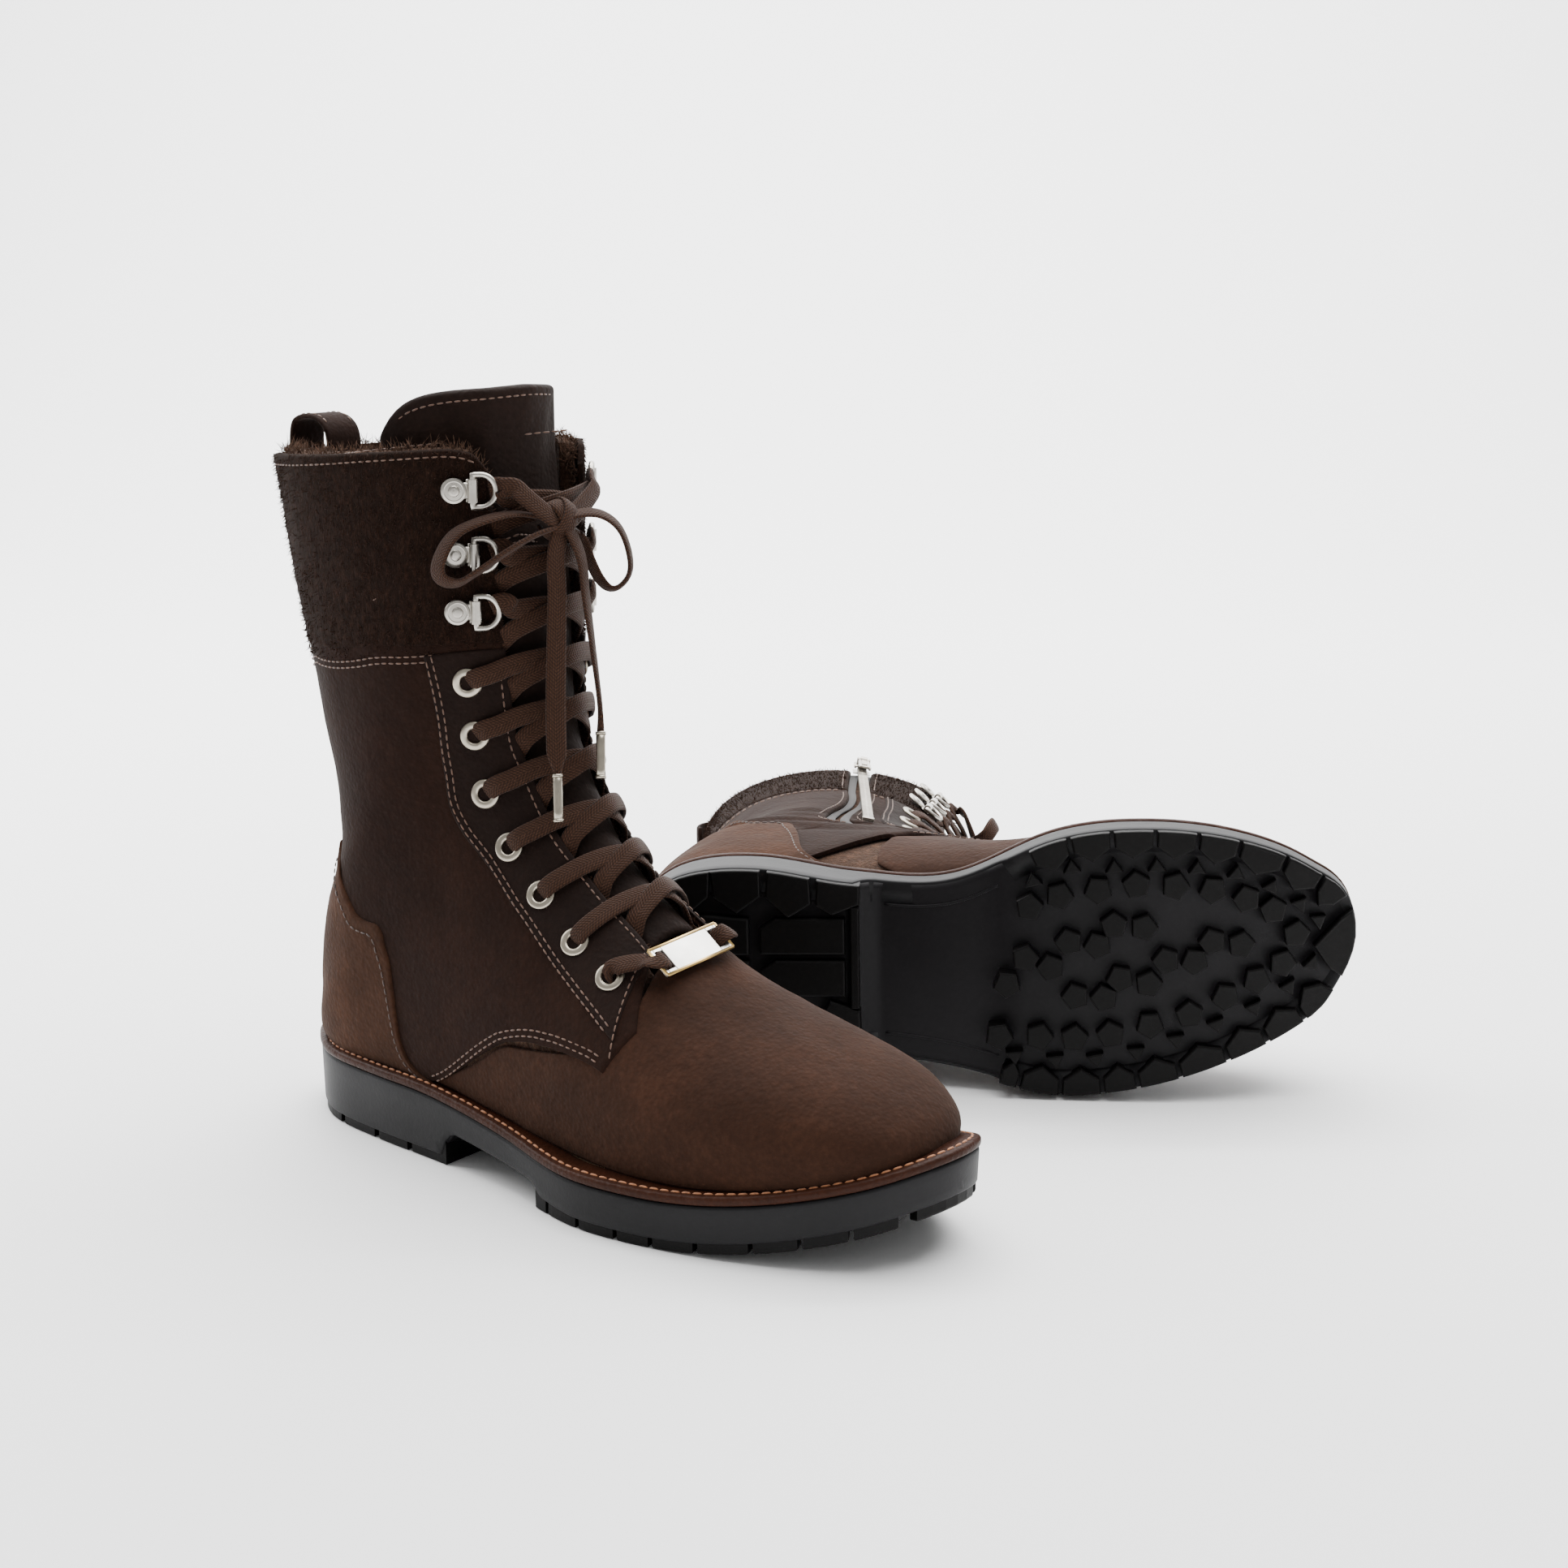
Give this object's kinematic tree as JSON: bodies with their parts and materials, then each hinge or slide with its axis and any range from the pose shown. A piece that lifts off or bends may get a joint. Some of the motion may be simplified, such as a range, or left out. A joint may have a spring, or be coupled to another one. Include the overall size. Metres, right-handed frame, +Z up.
{
  "type": "insulated hunting boots",
  "caption": "Pair of fur-lined lace-up ankle-high hunting boots with welted lugged soles, D-rings, eyelets and a medial zip; one stands, one lies.",
  "frame": {"origin": "centre of the pair's bounding box, on the floor that both boots rest on, measured without the free lace ends", "axes": "+Z up from the floor; +X to the viewer's right and +Y away from the viewer in the main view of the pair; the right boot stands with its toe towards +X and -Y, the left boot lies on its outer side"},
  "size_m": [0.4083, 0.4465, 0.2753],
  "materials": {
    "nubuck": "matte nubuck",
    "cuff_suede": "coarse suede",
    "fleece": "shearling pile",
    "rubber": "matte moulded",
    "welt": "semi-matte stitched",
    "board": "fibreboard",
    "steel": "brushed",
    "webbing": "woven",
    "lace": "braided",
    "metal": "satin light gold"
  },
  "bodies": {
    "right_boot": {"right_outsole": "rubber", "right_shank": "steel", "right_welt": "welt", "right_insole_board": "board", "right_footbed": "fleece", "right_vamp": "nubuck", "right_quarter_lateral": "nubuck", "right_quarter_medial": "nubuck", "right_heel_patch": "nubuck", "right_heel_stiffener": "board", "right_toe_puff": "board", "right_facing_lateral": "nubuck", "right_facing_medial": "nubuck", "right_cuff": "cuff_suede", "right_lining": "fleece", "right_tongue": "nubuck", "right_pull_loop": "nubuck", "right_eyelets": "metal", "right_dring_plates": "metal", "right_lace": "lace", "right_lace_ends": "lace", "right_aglets": "metal", "right_lace_plate": "metal", "right_zip_tape": "webbing", "right_zip_teeth": "metal"},
    "right_rings_lateral": {"right_drings_lateral": "metal"},
    "right_rings_medial": {"right_drings_medial": "metal"},
    "right_zip_slider": {"right_zip_slider": "metal"},
    "right_zip_puller": {"right_zip_puller": "metal"},
    "left_boot": {"left_outsole": "rubber", "left_shank": "steel", "left_welt": "welt", "left_insole_board": "board", "left_footbed": "fleece", "left_vamp": "nubuck", "left_quarter_lateral": "nubuck", "left_quarter_medial": "nubuck", "left_heel_patch": "nubuck", "left_heel_stiffener": "board", "left_toe_puff": "board", "left_facing_lateral": "nubuck", "left_facing_medial": "nubuck", "left_cuff": "cuff_suede", "left_lining": "fleece", "left_tongue": "nubuck", "left_pull_loop": "nubuck", "left_eyelets": "metal", "left_dring_plates": "metal", "left_lace": "lace", "left_lace_ends": "lace", "left_aglets": "metal", "left_lace_plate": "metal", "left_zip_tape": "webbing", "left_zip_teeth": "metal"},
    "left_rings_lateral": {"left_drings_lateral": "metal"},
    "left_rings_medial": {"left_drings_medial": "metal"},
    "left_zip_slider": {"left_zip_slider": "metal"},
    "left_zip_puller": {"left_zip_puller": "metal"}
  },
  "joints": [
    {"name": "right_rings_lateral_swing", "type": "hinge", "parent": "right_boot", "child": "right_rings_lateral", "pos_m": [-0.12446, -0.12391, 0.21909], "axis": [0.0003, 0.0159, -0.9999], "range_deg": [-6, 14]},
    {"name": "right_rings_medial_swing", "type": "hinge", "parent": "right_boot", "child": "right_rings_medial", "pos_m": [-0.08814, -0.07806, 0.21909], "axis": [0.0157, 0.0043, 0.9999], "range_deg": [-6, 14]},
    {"name": "right_zip", "type": "slide", "parent": "right_boot", "child": "right_zip_slider", "axis": [0.0719, -0.155, -0.9853], "range_m": [0, 0.14]},
    {"name": "right_zip_pull", "type": "hinge", "parent": "right_zip_slider", "child": "right_zip_puller", "pos_m": [-0.10251, -0.03814, 0.24385], "axis": [0.6094, -0.7752, 0.1665], "range_deg": [0, 100]},
    {"name": "left_rings_lateral_swing", "type": "hinge", "parent": "left_boot", "child": "left_rings_lateral", "pos_m": [0.05183, 0.16512, 0.01912], "axis": [0.1733, 0.9844, -0.0311], "range_deg": [-6, 14]},
    {"name": "left_rings_medial_swing", "type": "hinge", "parent": "left_boot", "child": "left_rings_medial", "pos_m": [0.05098, 0.16723, 0.06679], "axis": [-0.1741, -0.9803, 0.0934], "range_deg": [-6, 14]},
    {"name": "left_zip", "type": "slide", "parent": "left_boot", "child": "left_zip_slider", "axis": [-0.0128, -0.998, 0.0624], "range_m": [0, 0.14]},
    {"name": "left_zip_pull", "type": "hinge", "parent": "left_zip_slider", "child": "left_zip_puller", "pos_m": [0.01903, 0.19569, 0.08101], "axis": [-0.9805, 0.0248, 0.195], "range_deg": [0, 100]},
    {"name": "left_boot_lift", "type": "slide", "parent": "right_boot", "child": "left_boot", "axis": [0, 0, 1], "range_m": [0, 0.3]}
  ]
}
